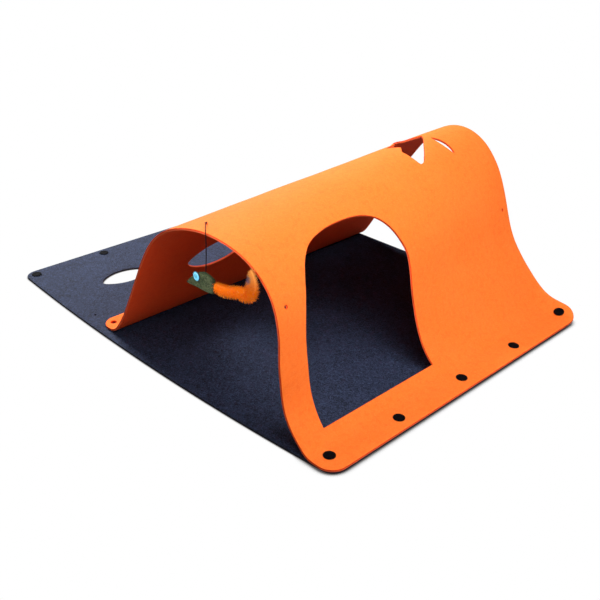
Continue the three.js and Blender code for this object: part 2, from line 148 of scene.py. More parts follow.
# Sections of the tail: X, Z, half the height and half the depth
TAIL_SECTIONS = [
    (196.7, 217.2, 7, 4.5), (203, 217.4, 9, 6.2), (212, 217.5, 10.2, 7), (223, 218.8, 9.8, 7),
    (236, 222.4, 10, 7), (249.5, 227, 10.8, 7), (265, 229.5, 14, 6.8), (277, 236, 15.5, 5.8),
    (281, 250, 13, 4.6), (280.8, 259, 10, 3.5), (280, 265, 6.2, 2.6), (279.2, 271, 1.6, 1.2),
]
CORE_SHARE = (0.66, 0.55)  # of the tail's height and depth, under the hair
CORE_LIFT = 1 * MM
CORE_SIDES = 20
COMB_STRENGTH = 0.85
CORD_DIAMETER = 1.5 * MM
# The cord's middle line, from the knot over the sheet's edge down to the fish's back
CORD_ROUTE = [
    (142.4, -326.8, 298.1), (148.5, -332.4, 298.4), (155.5, -338.6, 299.1),
    (162.5, -344.4, 299.6), (167.8, -348.6, 299.7), (170.8, -350.9, 298.9),
    (172.6, -352.2, 296.6), (173.4, -352.7, 292), (173.9, -353, 283),
    (174.4, -353.6, 270), (174.8, -354.4, 257), (175, -355.3, 245), (175, -355.9, 234.3),
]
KNOT_RADIUS = 2.4 * MM
CORD_HOLE = (-325 * MM, 496 * MM)

# The studio's soft lights round the tunnel: degrees from +X and above the floor, watts, distance
# and size. The far ones are large, and the near ones light the crown and the walls more than the
# floor.
FAR = (2.6, 1.1)
NEAR = (1.05, 0.6)
LIGHTS = [
    ("key_low", 172, 22, 69.7, *FAR),
    ("key_high", 172, 45, 39, *FAR),
    ("fill", 340, 45, 12.8, *FAR),
    ("fill_low", 340, 22, 4.2, *FAR),
    ("front_left", 225, 45, 4, *FAR),
    ("near_right", 7, 47, 7.5, *NEAR),
    ("near_left", 172, 50, 4.2, *NEAR),
    ("near_top", 6, 70, 1.9, *NEAR),
    ("near_front", 318, 42, 2.1, *NEAR),
]
LIGHT_AIM = (0.1, 0, 0.12)
FISH_LIGHT_PLACE = (-0.4, -1.5, 0.5)
FISH_LIGHT_AIM = (0.208, MIDDLE_Y + TOY_Y, 0.235)
FLOOR_SIZE = 40

# The camera, as solved from the mat's corners and the mouths
CAMERA = {"azimuth": 44.670, "elevation": 27.551, "roll": 1.467, "lens": 50.654}
CAMERA_PLACE = (1.08923, -1.06692, 0.79354)


def tint_property(name, description, tint):
    return FloatVectorProperty(
        name=name, description=description, subtype="COLOR", size=3, min=0, max=1, default=tint
    )


def colour_property(name, description, *levels):
    """A colour as a screen shows it, from 0 to 255, kept as Blender's linear values."""
    shares = [level / 255 for level in levels]
    tint = [s / 12.92 if s <= 0.04045 else ((s + 0.055) / 1.055) ** 2.4 for s in shares]
    return tint_property(name, description, tint)


def length_property(name, description, default, low, high):
    """A length, given here in millimetres."""
    return FloatProperty(
        name=name, description=description, default=default * MM, min=low * MM, max=high * MM,
        unit="LENGTH",
    )


def amount_property(name, description, default, unit="NONE"):
    return FloatProperty(name=name, description=description, default=default, min=0, unit=unit)


class FeltSettings(bpy.types.PropertyGroup):
    softness: length_property("Edge softness", "Radius of the cut edges", 0.6, 0.1, 1.8)
    wander: length_property("Edge wander", "How far the cut edges wander", 0.14, 0, 1)
    spacing: length_property("Spacing", "Distance between the points of a felt face", 7, 3, 30)
    unevenness: length_property("Unevenness", "How far the arch swells and dips", 0.7, 0, 4)
    fibre_density: amount_property("Stray fibres", "Stray fibres on each square metre", 7000)
    fibre_length: length_property("Fibre length", "Length of a stray fibre", 2.6, 0.5, 10)
    orange: colour_property("Orange", "Body of the orange felt", 252, 116, 37)
    orange_dark: colour_property("Orange, dark", "Its darker fibres", 244, 100, 28)
    orange_light: colour_property("Orange, light", "Its lighter fibres", 254, 132, 58)
    # The cut edge: its outer half darker as painted shade, its inner half paler as a painted highlight
    orange_edge: colour_property("Orange edge", "Cut edge, outer half", 232, 62, 20)
    orange_line: colour_property("Orange edge line", "Cut edge, inner half", 242, 104, 64)
    # Painted shade: this tint darkens and reddens the arch's inner face
    orange_inside_shade: tint_property("Orange, inside", "Tint of the arch's inner face", (0.95, 0.41, 0.53))
    grey: colour_property("Grey", "Body of the grey felt", 25, 30, 46)
    grey_dark: colour_property("Grey, dark", "Its darker fibres", 10, 13, 24)
    grey_light: colour_property("Grey, light", "Its lighter fibres", 55, 66, 95)
    # The cut edge's colours, lighter than the body: painted light that lifts the edge out of its shade
    grey_edge: colour_property("Grey edge", "Cut edge, upper half", 46, 50, 62)
    grey_line: colour_property("Grey edge line", "Cut edge, lower half", 34, 35, 42)


class FastenerSettings(bpy.types.PropertyGroup):
    pile_density: amount_property("Pile density", "Loops on each square metre", 900000)
    pile_height: length_property("Pile height", "Height of a loop", 0.7, 0.1, 3)
    black: colour_property("Black", "Colour of the fasteners", 5, 5, 8)


class ToySettings(bpy.types.PropertyGroup):
    fibre_density: amount_property("Head's fibres", "Fibres on each square metre of the head", 450000)
    fibre_length: length_property("Head's fibre length", "Length of a fibre of the head", 2.4, 0.5, 10)
    hair_density: amount_property("Hair density", "Hairs on each square metre of the tail", 1500000)
    hair_length: length_property("Hair length", "Length of a hair of the tail", 5, 1, 30)
    green: colour_property("Green", "Body of the head's felt", 44, 57, 35)
    green_dark: colour_property("Green, dark", "Its darker fibres", 14, 24, 14)
    green_light: colour_property("Green, light", "Its lighter fibres", 92, 98, 68)
    green_edge: colour_property("Green edge", "Cut edge, front half", 44, 57, 35)
    green_line: colour_property("Green edge line", "Cut edge, back half", 92, 98, 68)
    blue: colour_property("Blue", "The eye's face", 112, 208, 244)
    rim: colour_property("Rim", "The eye's rim", 14, 44, 58)
    hair: colour_property("Hair", "The tail's hair", 255, 152, 6)
    hair_pale: colour_property("Hair, pale", "The hair near the tip", 255, 186, 96)
    tuft: colour_property("Tuft", "The grey tuft on the tail", 132, 122, 150)
    cord: colour_property("Cord", "The cord", 13, 8, 10)
    knot: colour_property("Knot", "The cord's knot", 84, 16, 16)


class StageSettings(bpy.types.PropertyGroup):
    floor: tint_property("Floor", "The floor as it is seen", (1, 1, 1))
    floor_bounce: tint_property("Floor bounce", "The floor as it lights the felt", (0.3, 0.3, 0.3))
    # The colour of the painted contact shadow beside the mat
    contact_shadow_tint: tint_property("Contact tint", "The floor beside the mat", (0.1, 0.09, 0.09))
    contact_shadow: length_property(
        "Contact shadow", "How far the dark line round the mat reaches", 20, 1, 100
    )
    studio_share: amount_property("Studio light", "Share of the soft lights' power", 1)
    toy_power: amount_property("Fish light", "Power", 92, "POWER")


# Node trees

def add_node(tree, kind, inputs=(), **settings):
    """A node with its settings, its inputs set or linked by name or number."""
    made = tree.nodes.new(kind)
    for name, value in settings.items():
        setattr(made, name, value)
    for key, value in dict(inputs).items():
        if isinstance(value, bpy.types.NodeSocket):
            connect(value, made.inputs[key])
        else:
            made.inputs[key].default_value = value
    return made


def connect(value, socket):
    value.id_data.links.new(value, socket)


def source(tree, kind, output=0, inputs=(), **settings):
    """One output of a new node that no other node feeds."""
    return add_node(tree, kind, inputs, **settings).outputs[output]


def value_of(kind, inputs, output=0, **settings):
    """One output of a new node, in the tree of the sockets that feed it."""
    fed = next(value for value in inputs.values() if isinstance(value, bpy.types.NodeSocket))
    return add_node(fed.id_data, kind, inputs, **settings).outputs[output]


def work_out(operation, a, b=0.0):
    return value_of("ShaderNodeMath", {0: a, 1: b}, operation=operation)


def times(a, b):
    return work_out("MULTIPLY", a, b)


def on_line(value, slope, start):
    """The value times the slope, plus the start."""
    return work_out("ADD", times(value, slope), start)


def on_vector(operation, a, b):
    inputs = {0: a, "Scale" if operation == "SCALE" else 1: b}
    output = "Value" if operation == "DISTANCE" else "Vector"
    return value_of("ShaderNodeVectorMath", inputs, output, operation=operation)


def along_axis(place, axis):
    return value_of("ShaderNodeSeparateXYZ", {0: place}, axis)


def spread(value, low, high):
    """The value between low and high, spread from 0 to 1."""
    return value_of("ShaderNodeMapRange", {"Value": value, "From Min": low, "From Max": high})


def with_alpha(colour):
    return colour if isinstance(colour, bpy.types.NodeSocket) else (*colour, 1)


def mix_colours(share, a, b, blend="MIX"):
    """The mix of two colours, which are the node's sockets 6 and 7, and 2 where it comes out."""
    inputs = {0: share, 6: with_alpha(a), 7: with_alpha(b)}
    return value_of("ShaderNodeMix", inputs, 2, data_type="RGBA", blend_type=blend)


def noise_at(place, scale, detail, roughness=0.5, distortion=0.0, output="Fac"):
    inputs = {"Vector": place, "Scale": scale, "Detail": detail}
    inputs |= {"Roughness": roughness, "Distortion": distortion}
    return value_of("ShaderNodeTexNoise", inputs, output)


def attribute_of(tree, name, output="Fac"):
    return source(tree, "ShaderNodeAttribute", output, attribute_name=name)


def object_place(tree):
    return source(tree, "ShaderNodeTexCoord", "Object")


def seen_directly(tree):
    return source(tree, "ShaderNodeLightPath", "Is Camera Ray")


def new_group(name, kind, inputs, outputs):
    """A node group with the sockets of each type, what it is given and what it gives out."""
    tree = bpy.data.node_groups.new(name, kind)
    for in_out, sockets in (("INPUT", inputs), ("OUTPUT", outputs)):
        for socket_type, names in sockets.items():
            for socket in names.split():
                tree.interface.new_socket(socket, in_out=in_out, socket_type=f"NodeSocket{socket_type}")
    return tree, tree.nodes.new("NodeGroupInput").outputs, tree.nodes.new("NodeGroupOutput").inputs


FIBRE_TURNS = (0, 52, 118)  # degrees between the ways in which the fibres lie
FIBRE_STRETCH = (150, 900, 500)  # noise cells on a metre, along and across a fibre and in depth
FIBRE_DRIFT = 0.011  # metres by which a fibre leaves its line
# The felt's noises: cells on a metre, detail, roughness and distortion
DRIFT_NOISE = (70, 2)
FIBRE_NOISE = (1, 3, 0.6)
MOTTLE_NOISE = (105, 5, 0.62)
SWIRL_NOISE = (165, 3.5, 0.6, 2.6)
BLOTCH_NOISE = (14, 2)
GRAIN_NOISE = (1500, 2)
# Where each starts and is full
LIGHT_RANGE = (0.56, 0.72)
DARK_RANGE = (0.54, 0.36)
SWIRL_RANGE = (0.48, 0.66)
BLOTCH_RANGE = (0.42, 0.62)
# The same for the lower face's painted shade and for the cut edge's inner half, in shares of the
# thickness
UNDER_SHADE_RANGE = (0.2, 0.05)
LINE_RANGE = (0.62, 0.38)
SWIRL_STRENGTH = 0.85
BLOTCH_STRENGTH = 0.12
EDGE_DARKNESS = 0.5
STREAK_HEIGHT = 0.7
GRAIN_HEIGHT = 0.3
FELT_ROUGHNESS = (0.12, 0.86)  # its rise with the mottle, and its least
FELT_BUMP = 0.5 * MM


def felt_group():
    """Matted fibres: streaks in several directions over a soft mottle, the cut edge's colours, which
    paint shade and light on the orange and grey felt, and the lower face's tint of painted shade.
    """
    tree, given, result = new_group(
        "Felt", "ShaderNodeTree",
        {"Vector": "Place", "Float": "Cut Depth Heather", "Color": "Dark Body Light Edge Line Under"},
        {"Color": "Color", "Float": "Height Roughness"},
    )
    place, heather = given["Place"], given["Heather"]
    drift = noise_at(place, *DRIFT_NOISE, output="Color")
    drift = on_vector("SUBTRACT", drift, (0.5, 0.5, 0.5))
    wandering = on_vector("ADD", place, on_vector("SCALE", drift, FIBRE_DRIFT))
    streaks = None
    for turn in FIBRE_TURNS:
        inputs = {"Vector": wandering, "Angle": radians(turn)}
        turned_place = value_of("ShaderNodeVectorRotate", inputs)
        stretched = on_vector("MULTIPLY", turned_place, FIBRE_STRETCH)
        strands = noise_at(stretched, *FIBRE_NOISE)
        streaks = strands if streaks is None else work_out("MAXIMUM", streaks, strands)
    mottle = noise_at(place, *MOTTLE_NOISE)
    swirls = noise_at(place, *SWIRL_NOISE)
    blotches = noise_at(place, *BLOTCH_NOISE)
    grain = noise_at(place, *GRAIN_NOISE)
    dark_share = times(spread(mottle, *DARK_RANGE), heather)
    light_share = times(spread(streaks, *LIGHT_RANGE), heather)
    swirl_share = times(times(spread(swirls, *SWIRL_RANGE), heather), SWIRL_STRENGTH)
    blotch_share = times(spread(blotches, *BLOTCH_RANGE), BLOTCH_STRENGTH)
    face = mix_colours(dark_share, given["Body"], given["Dark"])
    for share in (light_share, swirl_share, blotch_share):
        face = mix_colours(share, face, given["Light"])
    # Painted shade: the lower face takes the body's colour times the tint under
    under = mix_colours(1.0, face, given["Under"], "MULTIPLY")
    face = mix_colours(spread(given["Depth"], *UNDER_SHADE_RANGE), face, under)
    # The cut edge's two halves: on the orange felt painted shade outside and a painted highlight
    # inside, on the grey felt painted light on both
    line_share = spread(given["Depth"], *LINE_RANGE)
    edge = mix_colours(line_share, given["Edge"], given["Line"])
    edge = mix_colours(times(dark_share, EDGE_DARKNESS), edge, given["Dark"])
    height = work_out("ADD", times(streaks, STREAK_HEIGHT), times(grain, GRAIN_HEIGHT))
    connect(mix_colours(given["Cut"], face, edge), result["Color"])
    connect(height, result["Height"])
    connect(on_line(mottle, *FELT_ROUGHNESS), result["Roughness"])
    return tree


def new_material(name, finish):
    """A material, its tree and its shader's sockets, with those set that stay the same all over."""
    material = bpy.data.materials.new(name)
    material.use_nodes = True
    shader = material.node_tree.nodes["Principled BSDF"].inputs
    for key, value in finish.items():
        shader[key].default_value = value
    return material, material.node_tree, shader


def put_bump(shader, height, strength, distance):
    inputs = {"Height": height, "Strength": strength, "Distance": distance}
    connect(value_of("ShaderNodeBump", inputs), shader["Normal"])


def felt_material(name, colours, thickness, heather, bump, under=(1, 1, 1)):
    """Needle felt. The colours are its dark, body, light, edge and line colours. The tint under is
    painted shade on its lower face; white paints none."""
    finish = {"Specular IOR Level": 0.2, "Sheen Weight": 0.08, "Sheen Roughness": 0.5}
    material, tree, shader = new_material(name, {**finish, "Sheen Tint": (*colours[2], 1)})
    place = attribute_of(tree, "flat_place", "Vector")
    raised = work_out("DIVIDE", along_axis(place, "Z"), thickness)
    inputs = {
        "Place": place, "Cut": attribute_of(tree, "cut"),
        "Depth": work_out("ADD", raised, 0.5), "Heather": heather,
    }
    for key, colour in zip(("Dark", "Body", "Light", "Edge", "Line", "Under"), (*colours, under)):
        inputs[key] = (*colour, 1)
    group = bpy.data.node_groups.get("Felt") or felt_group()
    felt = add_node(tree, "ShaderNodeGroup", inputs, node_tree=group).outputs
    connect(felt["Color"], shader["Base Color"])
    connect(felt["Roughness"], shader["Roughness"])
    put_bump(shader, felt["Height"], bump, FELT_BUMP)
    return material


def fibre_material(name, dark, light):
    """Single fibres, each between two colours by its own shade."""
    material, tree, shader = new_material(name, {"Roughness": 0.85, "Specular IOR Level": 0.2})
    connect(mix_colours(attribute_of(tree, "shade"), dark, light), shader["Base Color"])
    return material


THREADS_ROUND = 4
CORD_TWIST = 9000  # radians on a metre
KNOT_TWIST = 6000


def changed(colour, factor, more=0.0):
    """A colour made darker or paler, and no brighter than white."""
    return tuple(min(1, value * factor + more) for value in colour)


def cord_material(name, colour, twist):
    """A covered cord: fine diagonal threads round it."""
    material, tree, shader = new_material(name, {"Roughness": 0.9, "Specular IOR Level": 0.12})
    place = attribute_of(tree, "along_tube", "Vector")
    around = times(along_axis(place, "X"), 2 * pi * THREADS_ROUND)
    along = times(along_axis(place, "Y"), twist)
    threads = work_out("SINE", work_out("ADD", around, along))
    height = on_line(threads, 0.5, 0.5)
    connect(mix_colours(height, colour, changed(colour, 1.6, 0.003)), shader["Base Color"])
    put_bump(shader, height, strength=0.5, distance=0.15 * MM)
    return material


def plain_material(name, colour, roughness):
    """A smooth finish with faint wear in its colour and gloss."""
    material, tree, shader = new_material(name, {})
    wear = noise_at(object_place(tree), scale=420, detail=4)
    worn = mix_colours(spread(wear, low=0.5, high=0.8), colour, changed(colour, 0.72))
    connect(worn, shader["Base Color"])
    connect(on_line(wear, slope=0.25, start=roughness - 0.1), shader["Roughness"])
    put_bump(shader, wear, strength=0.2, distance=0.05 * MM)
    return material


def loop_material(black):
    """The fasteners' black loops."""
    finish = {"Roughness": 0.85, "Specular IOR Level": 0.06}
    material, tree, shader = new_material("black_loops", finish)
    place = object_place(tree)
    grain = spread(noise_at(place, scale=300, detail=4), low=0.45, high=0.75)
    connect(mix_colours(grain, black, changed(black, 2, 0.001)), shader["Base Color"])
    cells = value_of("ShaderNodeTexVoronoi", {"Vector": place, "Scale": 1400}, "Distance")
    put_bump(shader, cells, strength=0.6, distance=0.25 * MM)
    return material


HAIR_DEPTH = (0.95, 0.5, 0.5)  # what the deep hair keeps of red, green and blue
FRINGE_SLOPE = 0.175
TUFT_PLACE = (274 * MM, MIDDLE_Y + TOY_Y - 6 * MM, 259 * MM)
TUFT_RAGGEDNESS = 6 * MM


def plush_material(settings):
    """The tail's hair: clumps and single hairs of two colours, pale flecks that are painted highlights,
    pale towards the tip and along the fringe below, with one grey tuft."""
    finish = {"Roughness": 0.8, "Specular IOR Level": 0.1, "Sheen Weight": 0.04}
    material, tree, shader = new_material("orange_plush", finish)
    place = object_place(tree)
    up = along_axis(place, "Z")
    ragged = noise_at(place, scale=240, detail=3)
    clumps = noise_at(place, scale=150, detail=2, distortion=1)
    deep = tuple(a * b for a, b in zip(settings.hair, HAIR_DEPTH))
    fringe = work_out("SUBTRACT", up, times(along_axis(place, "X"), FRINGE_SLOPE))
    away = on_vector("DISTANCE", place, TUFT_PLACE)
    away = work_out("ADD", away, times(ragged, TUFT_RAGGEDNESS))
    hair = settings.hair
    for share, strength, colour in (
        (spread(clumps, 0.55, 0.68), 1.0, deep),
        # Pale flecks by noise: painted highlights
        (spread(ragged, 0.54, 0.68), 0.6, settings.hair_pale),
        (attribute_of(tree, "shade"), 0.35, deep),
        (spread(up, 242 * MM, 264 * MM), 0.85, settings.hair_pale),
        (spread(fringe, 172.5 * MM, 169.5 * MM), 0.7, settings.hair_pale),
        (spread(away, 11 * MM, 8 * MM), 1.0, settings.tuft),
    ):
        hair = mix_colours(times(share, strength), hair, colour)
    connect(hair, shader["Base Color"])
    return material


# The sheet's surface

def bent_section(slopes):
    """X and Z for each millimetre along the cut length, from the slopes at one mouth."""
    middles = np.arange(round(SHEET_LENGTH / MM)) + 0.5
    window = range(-SLOPE_SOFTENING, SLOPE_SOFTENING + 1)
    slope = np.radians(np.mean([np.interp(middles + k, ALONG, slopes) for k in window], axis=0))
    x = FASTENED_END - MM * np.append(0, np.cumsum(np.cos(slope)))
    z = FLAT_HEIGHT + MM * np.append(0, np.cumsum(np.sin(slope)))
    crown = int(np.argmax(z))
    scale = (z[crown] - FLAT_HEIGHT) / (z[crown] - z[-1])
    z[crown:] = FLAT_HEIGHT + (z[crown:] - z[-1]) * scale
    return x, z


ALONG, NEAR_SLOPES, FAR_SLOPES = zip(*SLOPES)
NEAR_SECTION = bent_section(NEAR_SLOPES)
FAR_SECTION = bent_section(FAR_SLOPES)


def sheet_middle(across, along):
    """The middle of the sheet's thickness at places of its flat pattern."""
    marks = np.arange(len(NEAR_SECTION[0])) * MM
    near_x, near_z = (np.interp(along, marks, values) for values in NEAR_SECTION)
    far_x, far_z = (np.interp(along, marks, values) for values in FAR_SECTION)
    share = across / SHEET_WIDTH + 0.5
    reach = np.maximum((across - CURL["start"]) / (SHEET_WIDTH / 2 - CURL["start"]), 0)
    swell = np.clip((along + CURL["lead"]) / (CURL["length"] + CURL["lead"]), 0, 1)
    # The highest value of swell * (1 - swell) ** 2 is 4 / 27.
    curl = CURL["lift"] * (27 / 4) * swell * (1 - swell) ** 2 * reach**2
    over = np.clip((along - BULGE["start"]) / (BULGE["end"] - BULGE["start"]), 0, 1)
    bulge = BULGE["lift"] * np.sin(over * pi) ** 2 * (1 - (2 * share - 1) ** 4)
    x = near_x + share * (far_x - near_x) + np.maximum(-along, 0)
    z = near_z + share * (far_z - near_z) + curl + bulge
    return np.stack([x, across + MIDDLE_Y, z], axis=-1)


def unit(rows):
    return rows / np.linalg.norm(rows, axis=-1, keepdims=True)


def sheet_normal(across, along):
    along_sheet = sheet_middle(across, along + MM) - sheet_middle(across, along - MM)
    across_sheet = sheet_middle(across + MM, along) - sheet_middle(across - MM, along)
    return unit(np.cross(across_sheet, along_sheet))


def on_sheet(across, along, raised):
    across, along, raised = (np.asarray(value, float) for value in (across, along, raised))
    return sheet_middle(across, along) + sheet_normal(across, along) * raised[..., None]


def uneven_sheet(across, along, raised):
    """The same, with the felt's soft swells and dips where it stands free of the mat."""
    place = on_sheet(across, along, raised)
    free = np.clip((place[:, 2] - SWELL_START) / SWELL_RISE, 0, 1)
    swell = [
        sum(share * noise.noise(Vector((u * a, v * b, c))) for a, b, c, share in SWELLS)
        for u, v in zip(across, along)
    ]
    (ear_across, ear_along), (reach_across, reach_along) = RAISED_EAR["centre"], RAISED_EAR["reach"]
    away = ((across - ear_across) / reach_across) ** 2 + ((along - ear_along) / reach_along) ** 2
    amount = bpy.context.scene.tunnel_felt.unevenness * free * np.array(swell)
    amount += RAISED_EAR["lift"] * np.exp(-away / 2)
    return place + sheet_normal(across, along) * amount[:, None]


def on_mat(x, y, raised):
    return np.stack([x, y + MIDDLE_Y, raised + FELT / 2 + MAT_LOW.z], axis=-1)


def on_head(x, z, raised):
    return np.stack([x, MIDDLE_Y + TOY_Y - raised, z], axis=-1)


# Outlines in a flat pattern

def arc(centre, radius, start, end, count):
    angles = np.radians(np.linspace(start, end, count + 1))
    return [(centre[0] + radius * cos(a), centre[1] + radius * sin(a)) for a in angles]


def punched(hole):
    across, along, diameter = hole
    return arc((across * MM, along * MM), diameter * MM / 2, 0, 345, 23)


def leaf_outline(leaf, lies_along_u):
    """A leaf with a point at both ends. It lies along the pattern's first or second axis."""
    u, v, half_length, half_width = (value * MM for value in leaf)
    places = np.sin(np.linspace(-pi / 2, pi / 2, LEAF_POINTS))
    widths = np.maximum(np.cos(places * pi / 2), 0) ** LEAF_FULLNESS
    places = np.append(places, places[-2:0:-1]) * half_length
    widths = np.append(widths, -widths[-2:0:-1]) * half_width
    return np.stack([places, widths] if lies_along_u else [widths, places], axis=1) + (u, v)


def both_sides(rows):
    """An outline from rows of along, near and far: out on the near side, back on the far one."""
    near = [(near, along) for along, near, _ in rows]
    return near + [(far, along) for along, _, far in reversed(rows)]


def sheet_outline():
    half, c = SHEET_WIDTH / 2, SHEET_CORNER
    corners = [
        ((half - c, c - OVERHANG), -90), ((half - c, SHEET_LENGTH - c), 0),
        ((c - half, SHEET_LENGTH - c), 90), ((c - half, c - OVERHANG), 180),
    ]
    points = [point for centre, turn in corners for point in arc(centre, c, turn, turn + 90, 9)]
    points = closed_loop(points, EDGE_STEP, True)
    for out, start, full in RUN_OUTS:
        share = np.clip((start - points[:, 1]) / (start - full), 0, 1)
        near = np.clip(-points[:, 0] / half * 4 - 3, 0, 1)
        points[:, 0] -= out * near * share**2 * (3 - 2 * share)
    return points


def bend(start, control, end, count):
    """A quadratic curve from start to end, drawn towards its control point."""
    shares = np.linspace(0, 1, count + 1)[:, None]
    start, control, end = (np.array(point) for point in (start, control, end))
    return (1 - shares) ** 2 * start + 2 * shares * (1 - shares) * control + shares**2 * end


def mat_outline():
    end, c, near, far = MAT_LENGTH / 2, MAT_CORNER, -MAT_NEAR_CORNER, MAT_FAR_EDGE
    bow = (MAT_BOW_CENTRE, near - 2 * MAT_NEAR_BOW)
    wide = 1.7 * c
    return np.vstack([
        bend((c - end, near), bow, (end - c, near), 60),
        bend((end - c, near), (end, near), (end, near + c), 9)[1:],
        bend((end, far - wide), (end, far), (end - wide, far), 14),
        bend((c - end, far), (-end, far), (-end, far - c), 9),
        bend((-end, near + c), (-end, near), (c - end, near), 9)[:-1],
    ])


# Meshes

def signed_area(points):
    u, v = points[:, 0], points[:, 1]
    return 0.5 * np.sum(u * np.roll(v, -1) - v * np.roll(u, -1))


def closed_loop(points, step, turns_left):
    """The points as a closed loop with no step longer than the given one."""
    points = np.array(points, float)
    if (signed_area(points) > 0) != turns_left:
        points = points[::-1]
    made = []
    for a, b in zip(points, np.roll(points, -1, axis=0)):
        count = max(1, ceil(np.linalg.norm(b - a) / step))
        made += [a + (b - a) * k / count for k in range(count)]
    return np.array(made)


SHARPEST = 0.35  # keeps a sharp corner's point from moving too far
EDGE_CLEARANCE = 0.6  # of the grid's points from a cut edge, in spacings


def inward(loop):
    """For each point of a loop, how far it moves for each unit of inset."""
    ahead = unit(np.roll(loop, -1, axis=0) - loop)
    left = np.stack([-ahead[:, 1], ahead[:, 0]], axis=1)
    before = np.roll(left, 1, axis=0)
    return (left + before) / np.maximum(1 + np.sum(left * before, axis=1), SHARPEST)[:, None]


def inside(points, loops):
    """Whether points lie inside the first loop and outside the others."""
    crossings = np.zeros(len(points), int)
    for loop in loops:
        for a, b in zip(loop, np.roll(loop, -1, axis=0)):
            spans = (a[1] > points[:, 1]) != (b[1] > points[:, 1])
            with np.errstate(divide="ignore", invalid="ignore"):
                at = a[0] + (points[:, 1] - a[1]) * (b[0] - a[0]) / (b[1] - a[1])
            crossings += spans & (points[:, 0] < at)
    return crossings % 2 == 1


def grid_inside(loops, spacing):
    """Points of a three-way grid inside the loops, clear of their edges."""
    low, high = loops[0].min(axis=0), loops[0].max(axis=0)
    rows = np.arange(low[1], high[1], spacing * sqrt(3) / 2)
    columns = np.arange(low[0], high[0], spacing)
    points = np.array([(u + (i % 2) * spacing / 2, v) for i, v in enumerate(rows) for u in columns])
    points = points[inside(points, loops)]
    edge = np.concatenate(loops)
    tree = kdtree.KDTree(len(edge))
    for i, (u, v) in enumerate(edge):
        tree.insert((u, v, 0), i)
    tree.balance()
    clear = EDGE_CLEARANCE * spacing
    return np.array([(u, v) for u, v in points if tree.find((u, v, 0))[2] > clear])


# Degrees round a cut edge's rounding, and the share of cut edge there
EDGE_TURN = ((0, 0.1), (30, 0.75), (60, 1), (90, 1))


def edge_profile(thickness, softness):
    """Inset, height and share of cut edge, round the edge from one face to the other."""
    rows = []
    for degrees, cut in EDGE_TURN:
        a = radians(degrees)
        height = thickness / 2 - softness * (1 - cos(a))
        rows.append((softness * (1 - sin(a)), height, cut))
    return rows + [(0, 0, 1)] + [(inset, -height, cut) for inset, height, cut in rows[::-1]]


def cut_piece(name, outline, holes, place, thickness, spacing, softness):
    """A cut piece of thick cloth: both faces, and softly rounded edges all round."""
    reach = bpy.context.scene.tunnel_felt.wander
    step = min(spacing, EDGE_STEP)
    loops = [closed_loop(outline, step, True)]
    loops += [closed_loop(hole, step, False) for hole in holes]
    shifts = [inward(loop) for loop in loops]
    inner = [loop + shift * softness for loop, shift in zip(loops, shifts)]
    points = np.concatenate(inner + [grid_inside(inner, spacing)])
    edges, start = [], 0
    for loop in inner:
        count = len(loop)
        edges += [(start + i, start + (i + 1) % count) for i in range(count)]
        start += count
    corners = [Vector(point) for point in points]
    flat, _, faces, origins, _, _ = delaunay_2d_cdt(corners, edges, [], 0, 1e-8)
    flat = np.array([tuple(point) for point in flat])
    found = {old: i for i, olds in enumerate(origins) for old in olds}
    centres = np.array([flat[list(face)].mean(axis=0) for face in faces])
    faces = [face for face, keep in zip(faces, inside(centres, inner)) if keep]

    count = len(flat)
    flats = [np.column_stack([flat, np.full(count, h)]) for h in (thickness / 2, -thickness / 2)]
    cuts = [np.zeros(2 * count)]
    polygons = [tuple(face) for face in faces]
    polygons += [tuple(i + count for i in reversed(face)) for face in faces]
    total, start = 2 * count, 0
    for loop, shift in zip(loops, shifts):
        size = len(loop)
        rings = [[found[start + i] for i in range(size)]]
        for inset, height, cut in edge_profile(thickness, softness)[1:-1]:
            wander = np.array([
                sum(noise.noise(Vector((u, v, height)) * waves) for waves in EDGE_WAVES)
                for u, v in loop
            ])
            rim = loop + shift * (inset + reach * wander[:, None] * cut)
            flats.append(np.column_stack([rim, np.full(size, height)]))
            cuts.append(np.full(size, cut))
            rings.append(list(range(total, total + size)))
            total += size
        rings.append([found[start + i] + count for i in range(size)])
        for upper, lower in zip(rings, rings[1:]):
            polygons += zip(upper, lower, lower[1:] + lower[:1], upper[1:] + upper[:1])
        start += size
    flats = np.concatenate(flats)
    mesh = new_mesh(name, place(*flats.T), polygons)
    give_attribute(mesh, "flat_place", flats)
    give_attribute(mesh, "cut", np.concatenate(cuts))
    return show(mesh)


def new_mesh(name, points, polygons):
    mesh = bpy.data.meshes.new(name)
    mesh.from_pydata([tuple(point) for point in points], [], polygons)
    return mesh


def give_attribute(mesh, name, values):
    """Stores a number or a vector for each point of a mesh."""
    kind, key = ("FLOAT", "value") if values.ndim == 1 else ("FLOAT_VECTOR", "vector")
    mesh.attributes.new(name, kind, "POINT").data.foreach_set(key, values.ravel())


def put_in_scene(name, data):
    made = bpy.data.objects.new(name, data)
    bpy.context.scene.collection.objects.link(made)
    return made


def show(mesh):
    """The mesh as a smooth-shaded object in the scene."""
    mesh.shade_smooth()
    mesh.validate()
    return put_in_scene(mesh.name, mesh)


def facing(place, way):
    """The move that takes a shape's origin to a place and its Z axis to a way."""
    return Matrix.Translation(place) @ Vector(way).to_track_quat("Z", "Y").to_matrix().to_4x4()


def turned(name, profile, sides, matrix):
    """A turned shape about Z from (radius, height) rows, closed at both poles, then placed."""
    form = bmesh.new()
    rings = []
    for radius, height in profile:
        angles = [2 * pi * k / sides for k in range(sides)] if radius > 0 else [0]
        corners = [(radius * cos(a), radius * sin(a), height) for a in angles]
        rings.append([form.verts.new(corner) for corner in corners])
    for lower, upper in zip(rings, rings[1:]):
        for k in range(sides):
            corners = [lower[k % len(lower)], lower[(k + 1) % len(lower)]]
            corners += [upper[(k + 1) % len(upper)], upper[k % len(upper)]]
            form.faces.new(list(dict.fromkeys(corners)))
    bmesh.ops.recalc_face_normals(form, faces=form.faces)
    form.transform(matrix)
    mesh = bpy.data.meshes.new(name)
    form.to_mesh(mesh)
    form.free()
    return show(mesh)


